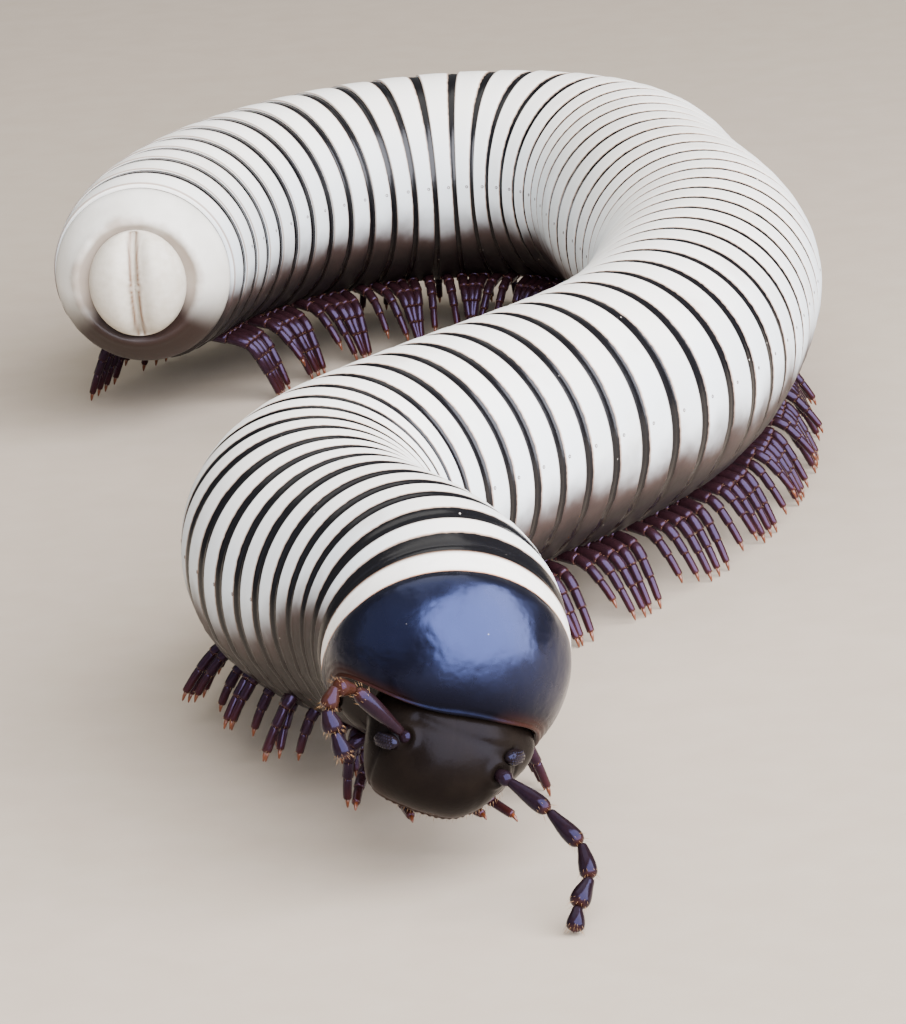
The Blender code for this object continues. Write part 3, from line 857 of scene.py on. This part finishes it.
def buildAntenna(name, hand):
    chance = random.Random(11 + hand)
    points = np.array(antennae[name]) + headEnd
    steps, widths = zip(*antennae["profile"])
    shape = newShape()
    for i, (near, far) in enumerate(zip(points, points[1:])):
        ahead = unit(far - near)
        first = antennae["knobShare"] if i == 0 else 0.0  # the first joint leaves room for its knob
        along = lambda share: near + (far - near) * (first + (1 - first) * share)
        bow = np.cross(ahead, (0, 0, 1.0)) * antennae["bow"] * (1 if i % 2 else -1)
        path = [along(t * antennae["filled"]) + bow * math.sin(math.pi * t) for t in steps]
        radius = antennae["radii"][i]
        radii = [radius * width for width in widths]
        addTube(shape, path, radii, antennae["sides"], rim=steps, tan=antennae["tan"][name][i])
        for end, (share, girth, length) in enumerate(antennae["fringes"]):
            patch = (0.02 + 0.02 * i, 0.9 + 0.02 * end + 0.045 * (hand > 0))
            fringe(along(share), ahead, radius * girth, antennae["hairs"], length, chance, patch)
    start, tip = points[0], points[-1]
    out = onHead(head["sockets"][name][0], 0)[1]
    ahead = unit(points[1] - start)
    places, radii = zip(*antennae["knob"])
    knob = [start + (out if place < 0 else ahead) * place for place in places]
    addTube(shape, knob, radii, antennae["sides"], rim=0.3, tan=0.0)
    last = unit(tip - points[-2])
    across = unit(np.cross(last, (0.0, 0.4, 0.9)))
    apart, sunk = antennae["coneAt"]
    places, radii = zip(*antennae["cone"])
    for k in range(4):  # the four sensory cones
        out = turned(across, np.cross(last, across), math.pi / 4 + math.pi / 2 * k)
        spot = tip + out * apart - last * sunk
        addTube(shape, [spot + last * place for place in places], radii, 8, rim=1.0, tan=0.6)
    for point in shape["points"]:
        point[2] = max(point[2], 0.01)  # the last joint rests on the floor
    addPiece("antenna_joints_" + name, shape, makeAntennaCuticle(), ["antenna_" + name])


buildAntenna("left", 1)
buildAntenna("right", -1)


# Legs: six joints and a claw each, two pairs to a ring, stepping in waves
legs = {
    # For root, knee and foot: mm out and up, and their shares of a higher body, of a step and of a swing
    "lateral": (1.4, 6.3, 8.7),
    "height": (5.3, 4.4, 0.0),
    "bodyRise": (1.0, 0.8, 0.0),
    "stepOut": (0, 0.1, 0.25),
    "stepUp": (0, 0.25, 1),
    "swingShare": (0, 0.5, 1),
    "bellyHeight": 4.1,  # of a body that is carried at the usual height
    "radiusAt": (0, 0.5, 1),
    "radius": (0.6, 0.52, 0.28),
    "places": (0.27, 0.75),  # of a ring
    "swing": 0.95,
    "waveRings": 2.6,  # length of a wave of steps
    "step": 1.9,
    "lifted": 0.35,  # feet at this height of the wave and over are off the floor
    "squeezeTurn": 24,  # degrees of bend to two rings at which the inner legs draw in most
    "squeeze": 0.22,
    "lastRing": 61,
    # Feet of the first two pairs, by ring and side, as reach, distance ahead and height
    "frontFeet": {
        (1, 1): (1.3, 5.4, 3.3), (1, -1): (3.4, 5.0, 3.6), (2, 1): (3.2, 5.6, 2.0), (2, -1): (6.8, 3.4, 3.6),
    },
    "frontRoot": (1.6, 1.3),  # up into the belly and out, mm
    "frontKnee": (1.1, 0.62, 0.5),  # mm below the belly, and shares of the foot's reach and distance ahead
    # The right legs near the head are held up and out: how far, and the knee and foot as reach and height
    "heldAt": (2.8, 3.6, 4.3, 4.9, 6.1, 9.1, 11.7, 13.4, 15.5),
    "held": (1, 1, 1, 1, 1, 1, 1, 1, 0),
    "heldKnee": (
        (5.2, 6.2), (5.2, 6.2), (4.6, 6.6), (4.6, 6.8), (6.1, 7.8), (5.5, 7.4), (6.8, 6.2), (8.6, 5.6),
        (6.3, 4.4),
    ),
    "heldFoot": (
        (6.0, 1.7), (6.0, 1.6), (5.2, 3.6), (5.6, 4.0), (8.7, 3.4), (8.2, 3.4), (9.8, 2.4), (11.8, 1.6),
        (8.7, 0.0),
    ),
    "heldSwing": 1.35,
    "tuckIn": (0, 0.9, 2.3),  # the legs between two groups fold in behind them, mm
    "tuckDown": (0, 1.3, 0.6),
    "joints": (0.0, 0.13, 0.31, 0.49, 0.63, 0.77, 0.955),  # where each joint ends, as shares of the leg
    "profile": ((0.0, 0.74), (0.08, 0.8), (0.4, 0.86), (0.8, 0.92), (0.94, 0.92), (1.0, 0.8)),
    "arch": 0.16,  # how far the leg rises past its knee, as a share of its bend
    "rounding": 0.08,  # share of the root and of the foot in the top of the arch
    "curvePoints": 61,
    "claw": (0.17, 0.13, 0.07, 0.025),  # radii, mm
    "clawDrop": 0.3,  # mm that the claw reaches below the last joint
    "clawPoint": 0.03,  # height of its point over the foot's place, mm
    "clawRoot": (0.94, 0.9, 0.97),  # where it starts, and the two places it takes its direction from
    "clawBulge": (0.06, 0.04),  # onwards and up at its middle, mm
    "fringe": (5, 0.27),  # hairs to a joint, and their length
}


def makeLegCuticle():
    # Thin sclerotised chitin: purple brown and glossy above, rust red towards the claws
    material, tree, shader, _, fine, reach, rim = newMaterial(
        "purple brown leg cuticle", 0.4, 3.0, "reach", "rim"
    )
    distal = addNode(tree, "MapRange", {0: reach, 1: 0.72, 2: 1.0, 4: 0.7}, **smooth)
    rimShare = addNode(tree, "MapRange", {0: rim, 1: 0.9, 2: 1.0, 4: 0.3})
    colour = "#130a0c"
    for share, tone in ((fine, "#291518"), (distal, "#31130b"), (rimShare, "#4f2d1b")):
        colour = addNode(tree, "Mix", {0: share, 6: colour, 7: tone})
    bump = addNode(tree, "Bump", {"Height": fine, "Distance": 0.02 * mm, "Strength": 0.4})
    fillInputs(tree, shader, {
        "Base Color": colour, "Roughness": 0.22, "IOR": 1.55, "Specular IOR Level": 0.3,
        "Specular Tint": "#bcaef0", "Normal": bump,
    })
    return material


def makeClawChitin():
    # Unpigmented hard chitin, amber to rust, worn smooth at the point
    return twoToneMaterial(
        "amber claw chitin", 0.3, 2.0, ("#40190a", "#6f3818"), {"Roughness": 0.3, "IOR": 1.55}
    )


# How much the legs on the inside of a bend draw in, from 0 to 1
def innerSqueeze(ring, hand):
    bend = np.cross(frameAt(ring - 1)[1], frameAt(ring + 1)[1])[2]
    turn = math.degrees(math.asin(np.clip(bend, -1, 1)))
    return float(np.clip(-turn * hand / legs["squeezeTurn"], 0, 1))


# Root, knee and foot of a leg in the waves of steps, or of one that is held up
def walkingLeg(place, hand):
    centre, axis, _, _ = frameAt(place)
    flatAxis = unit(axis * (1, 1, 0))
    flatSide = np.cross(flatAxis, (0, 0, 1.0)) * hand
    phase = 2 * math.pi * place / legs["waveRings"]
    squeeze = innerSqueeze(place, -hand)
    swing = legs["swing"] * math.sin(phase) * (1 - squeeze)
    step = legs["step"] * max(0.0, math.cos(phase) - legs["lifted"]) / (1 - legs["lifted"]) * (1 - squeeze)
    higher = centre[2] - radiusAt(place) - legs["bellyHeight"]
    held = valueAt(legs, "held", place) * (hand < 0)
    swing += (legs["heldSwing"] * math.sin(phase) - swing) * held
    tuck = held * (math.cos(phase) + 1) / 2
    path = []
    for i in range(3):
        reach = legs["lateral"][i] * (1 - legs["squeeze"] * squeeze * (i > 0)) + step * legs["stepOut"][i]
        height = legs["height"][i] + higher * legs["bodyRise"][i] + step * legs["stepUp"][i]
        if i and held:
            spots = legs[("heldKnee", "heldFoot")[i - 1]]
            heldReach, heldHeight = (np.interp(place, legs["heldAt"], column) for column in zip(*spots))
            reach += (heldReach - tuck * legs["tuckIn"][i] - reach) * held
            height += (heldHeight - tuck * legs["tuckDown"][i] - height) * held
        ahead = flatAxis * swing * legs["swingShare"][i]
        path.append(centre * (1, 1, 0) + flatSide * reach + ahead + (0, 0, height))
    return path


def frontLeg(ring, hand, reach, ahead, height):
    centre, axis, side, up = frameAt(ring + 0.5)
    low = radiusAt(ring + 0.5)
    rootUp, rootOut = legs["frontRoot"]
    kneeDown, kneeOut, kneeAhead = legs["frontKnee"]
    root = centre - up * (low - rootUp) + side * hand * rootOut
    knee = centre - up * (low + kneeDown) + side * hand * reach * kneeOut - axis * ahead * kneeAhead
    foot = centre + side * hand * reach - axis * ahead
    foot[2] = height
    return [root, knee, foot]


# Joints, fringes and claw along a leg
def dressLeg(shape, claws, path, patch, chance):
    root, knee, tip = (np.asarray(p, float) for p in path)
    foot = tip + (0, 0, legs["clawDrop"])
    crown = knee + (knee - (root + foot) / 2) * legs["arch"]
    ends = legs["rounding"]
    top = crown * (1 - 2 * ends) + root * ends + foot * ends
    line = curveThrough([root, (root + crown) / 2, top, (crown + foot) / 2, foot], legs["curvePoints"])
    count = len(line)
    at = lambda share: np.array([np.interp(share * (count - 1), range(count), column) for column in line.T])
    steps, widths = zip(*legs["profile"])
    for number, (begin, end) in enumerate(zip(legs["joints"], legs["joints"][1:])):
        shares = [begin + (end - begin) * t for t in steps]
        radii = valueAt(legs, "radius", shares) * widths
        addTube(shape, [at(s) for s in shares], radii, 8, reach=shares, rim=steps)
        if number:
            girth = valueAt(legs, "radius", end) * 0.85
            spot = (patch[0], patch[1] + 0.0075 * number)
            fringe(at(end - 0.01), unit(at(end) - at(begin)), girth, *legs["fringe"], chance, spot)
    start, before, after = (at(share) for share in legs["clawRoot"])
    point = tip + (0, 0, legs["clawPoint"])
    onwards, rise = legs["clawBulge"]
    middle = (start + point) / 2 + (0, 0, rise) + unit(after - before) * onwards
    addTube(claws, [start, middle, point * 0.75 + middle * 0.25, point], legs["claw"], 6)


def buildLegs():
    shape, claws = newShape(), newShape()
    chance = random.Random(3)
    for ring in range(1, legs["lastRing"] + 1):
        for hand in (-1, 1):
            if ring < 3:
                paths = [frontLeg(ring, hand, *legs["frontFeet"][ring, hand])]
            else:
                paths = [walkingLeg(ring + place, hand) for place in ((0.5,) if ring == 3 else legs["places"])]
            for number, path in enumerate(paths):
                patch = (0.01 + 0.0155 * (ring - 1), 0.02 + 0.1 * number + 0.25 * (hand > 0))
                dressLeg(shape, claws, path, patch, chance)
    addPiece("leg_joints", shape, makeLegCuticle())
    addPiece("claws", claws, makeClawChitin())


buildLegs()


def makeHairChitin():
    # Setae, thin bristles of clear tan chitin that catch the light
    return twoToneMaterial(
        "tan bristle chitin", 0.8, 1.0, ("#6b4626", "#a88356"), {"Roughness": 0.45, "IOR": 1.55}
    )


# Adds short hairs along the lip to the gathered fringes
def buildBristles():
    chance = random.Random(9)
    _, ahead, side, up = headFrame()
    outwards, down, forwards = bristles["lipLean"]
    for k, direction in enumerate(curveThrough(head["lip"], bristles["lipCount"])):
        spot, out = onHead(direction, 0.05)
        stray = side * (chance.random() - 0.5) * bristles["lipStray"]
        lean = out * outwards - up * down + ahead * forwards + stray
        tip = spot + lean * varied("lipLength", chance)
        addHair(hairs, spot, tip, bristles["lipWidth"], (0.2 + 0.0036 * k, 0.93))
    mesh = addPiece("bristles", hairs, makeHairChitin())
    unwrap = mesh.uv_layers.new(name="OFBake")
    corners = np.array([loop.vertex_index for loop in mesh.loops])
    unwrap.data.foreach_set("uv", np.array(hairs["patches"], np.float32)[corners].ravel())


buildBristles()


# Tail: the last ring closes over a pair of valves with raised lips
tail = {
    "around": 96,
    "radius": 7.3,
    "loops": (  # rings past the last one, and share of the radius; the end turns in under the valves
        (0.02, 0.6), (0.0, 0.9), (0.0, 0.965), (0.06, 0.975), (0.13, 0.975), (0.16, 0.965), (0.19, 0.985),
        (0.3, 0.98), (0.45, 0.95), (0.6, 0.905), (0.75, 0.85), (0.87, 0.8), (0.96, 0.76), (1.02, 0.74),
        (1.06, 0.715), (1.08, 0.685), (1.06, 0.655), (0.98, 0.63), (0.9, 0.3),
    ),
    "valvesAt": 1.05,
    "valve": (4.4, 2.8),  # radius and length, mm
    "narrow": 0.9,
    "valveFoot": (0.35, 0.5),  # how far its foot lies in front of its rim and inside it, mm
    "valveBulge": 2.2,  # power of its curve, blunter when higher
    "lipBrown": (0.3, 0.14),  # distance from the slit and width, mm
    "valveRidges": ((0.14, 0.3, 0.12), (-1.0, 0, 1.0), (-0.35, 0, 0.07)),  # lips, dip between them and slit
}


def makeTailCuticle():
    # The trunk's limy chitin again, ivory in front and browner towards the valves
    material, tree, shader, place, fine, back, flank = newMaterial(
        "ivory to brown tail cuticle", 0.5, 3.0, "back", "flank"
    )
    broad = addNode(tree, "TexNoise", {"Vector": place, "Scale": 1 / (3 * mm), "Detail": 3.0})
    edge = addNode(tree, "Math", {0: broad, 1: 0.5, 2: back}, operation="MULTIPLY_ADD")
    colour = addNode(tree, "Mix", {0: broad, 6: "#e6e2d6", 7: "#bdb8a9"})
    for tone, *row in (
        ("#14100f", back, 0.14, 0.19, 1.0, 0.0), ("#7d6149", edge, 1.2, 1.42, 0.0, 0.6),
        ("#2a1d18", flank, 92.0, 135.0, 0.0, 1.0),
    ):
        share = addNode(tree, "MapRange", dict(enumerate(row)), **smooth)
        colour = addNode(tree, "Mix", {0: share, 6: colour, 7: tone})
    bump = addNode(tree, "Bump", {"Height": fine, "Distance": 0.02 * mm, "Strength": 0.5})
    fillInputs(tree, shader, {
        "Base Color": colour, "Roughness": 0.46, "IOR": 1.52, "Specular IOR Level": 0.25, "Normal": bump,
    })
    return material


def makeValveCuticle():
    # Limy chitin like the rings', satin and ivory, tanned brown along the lips of the slit
    material, tree, shader, _, fine, slit = newMaterial("ivory valve cuticle", 0.6, 3.0, "slit")
    colour = addNode(tree, "Mix", {0: fine, 6: "#d3ccbd", 7: "#b5aa94"})
    colour = addNode(tree, "Mix", {0: slit, 6: colour, 7: "#6b4d33"})
    fillInputs(tree, shader, {"Base Color": colour, "Roughness": 0.42, "IOR": 1.52, "Specular IOR Level": 0.3})
    return material


def buildTail():
    count = tail["around"]
    angles = np.linspace(0, 2 * math.pi, count, endpoint=False)
    rows, back = [], []
    turnAt = max(past for past, _ in tail["loops"])
    turns = [past for past, _ in tail["loops"]].index(turnAt)
    for i, (past, share) in enumerate(tail["loops"]):
        centre, _, side, up = frameAt(pose["lastRing"] + past)
        rows.append(centre + tail["radius"] * share * turned(up, side, angles))
        back.append(np.full(count, 2 * turnAt - past if i >= turns else past))
    flank = np.abs((np.degrees(angles) + 180) % 360 - 180)
    ring = skinShape(rows, back=back, flank=[flank] * len(rows))
    addPiece("telson_ring", ring, makeTailCuticle(), ["telson"])

    centre, axis, side, up = frameAt(pose["lastRing"] + tail["valvesAt"])
    wide, long = tail["valve"]
    sunk, inside = tail["valveFoot"]
    rows = [centre - axis * sunk + (wide - inside) * turned(up, side * tail["narrow"], angles)]
    slit = [np.zeros(count)]
    for share in [*np.linspace(0.0, 0.97, 26), 0.985, 0.995, 0.9992]:
        radius = wide * math.sqrt(1 - share ** tail["valveBulge"])
        across = radius * tail["narrow"] * np.sin(angles)
        lift = ridges(np.abs(across), tail["valveRidges"]) * smoothStep(0.0, 0.5, share)
        reach = (long * share + lift + 0.02)[:, None]
        rows.append(centre + axis * reach + np.outer(across, side) + np.outer(radius * np.cos(angles), up))
        slit.append(bell(np.abs(across), *tail["lipBrown"]) * smoothStep(0.0, 0.3, share))
    addPiece("valve_pair", skinShape(rows, slit=slit), makeValveCuticle(), ["anal_valves"])


buildTail()


# Studio: a pale floor, one broad window-like light from the front right and soft light from above
studio = {
    "floor": ("#9a8c79", "#a39684"),
    "floorHalf": 4.0,  # m
    "sky": "#e6e8ec",
    "skyStrength": 0.2,
    "lights": (  # name, place and aim in metres, width and height, watts and colour
        ("key", (0.215, -0.32, 0.22), (0.0, -0.068, 0.0125), (0.82, 0.68), 25.5, "#f3f4ff"),
        ("top", (-0.05, 0.12, 0.6), (0, 0, 0.01), (0.6, 0.5), 2.0, "#fffdf6"),
        ("fill", (-0.75, -0.35, 0.5), (0.0, -0.068, 0.0125), (1.0, 0.8), 1.6, "#dfe8ff"),
    ),
}


def makeFloorPaper():
    # Matt background paper with a faint pulp grain
    return twoToneMaterial("matt background paper", 4.0, 3.0, studio["floor"], {"Roughness": 0.85})


def addStudio():
    far = studio["floorHalf"]
    mesh = bpy.data.meshes.new("floor")
    mesh.from_pydata([(-far, -far, 0), (far, -far, 0), (far, far, 0), (-far, far, 0)], [], [(0, 1, 2, 3)])
    floor = addObject("floor", mesh)
    mesh.materials.append(makeFloorPaper())
    world = bpy.data.worlds.new("studio")
    bpy.context.scene.world = world
    world.use_nodes = True
    background = world.node_tree.nodes["Background"]
    fillInputs(world.node_tree, background, {"Color": studio["sky"], "Strength": studio["skyStrength"]})
    for name, place, aim, size, power, colour in studio["lights"]:
        light = addObject(name, bpy.data.lights.new(name, "AREA"))
        light.data.shape = "RECTANGLE"
        light.data.size, light.data.size_y = size
        light.data.energy = power
        light.data.color = fromHex(colour)[:3]
        light.location = Vector(place)
        light.rotation_euler = (Vector(aim) - Vector(place)).to_track_quat("-Z", "Y").to_euler()


addStudio()
print("studio done")
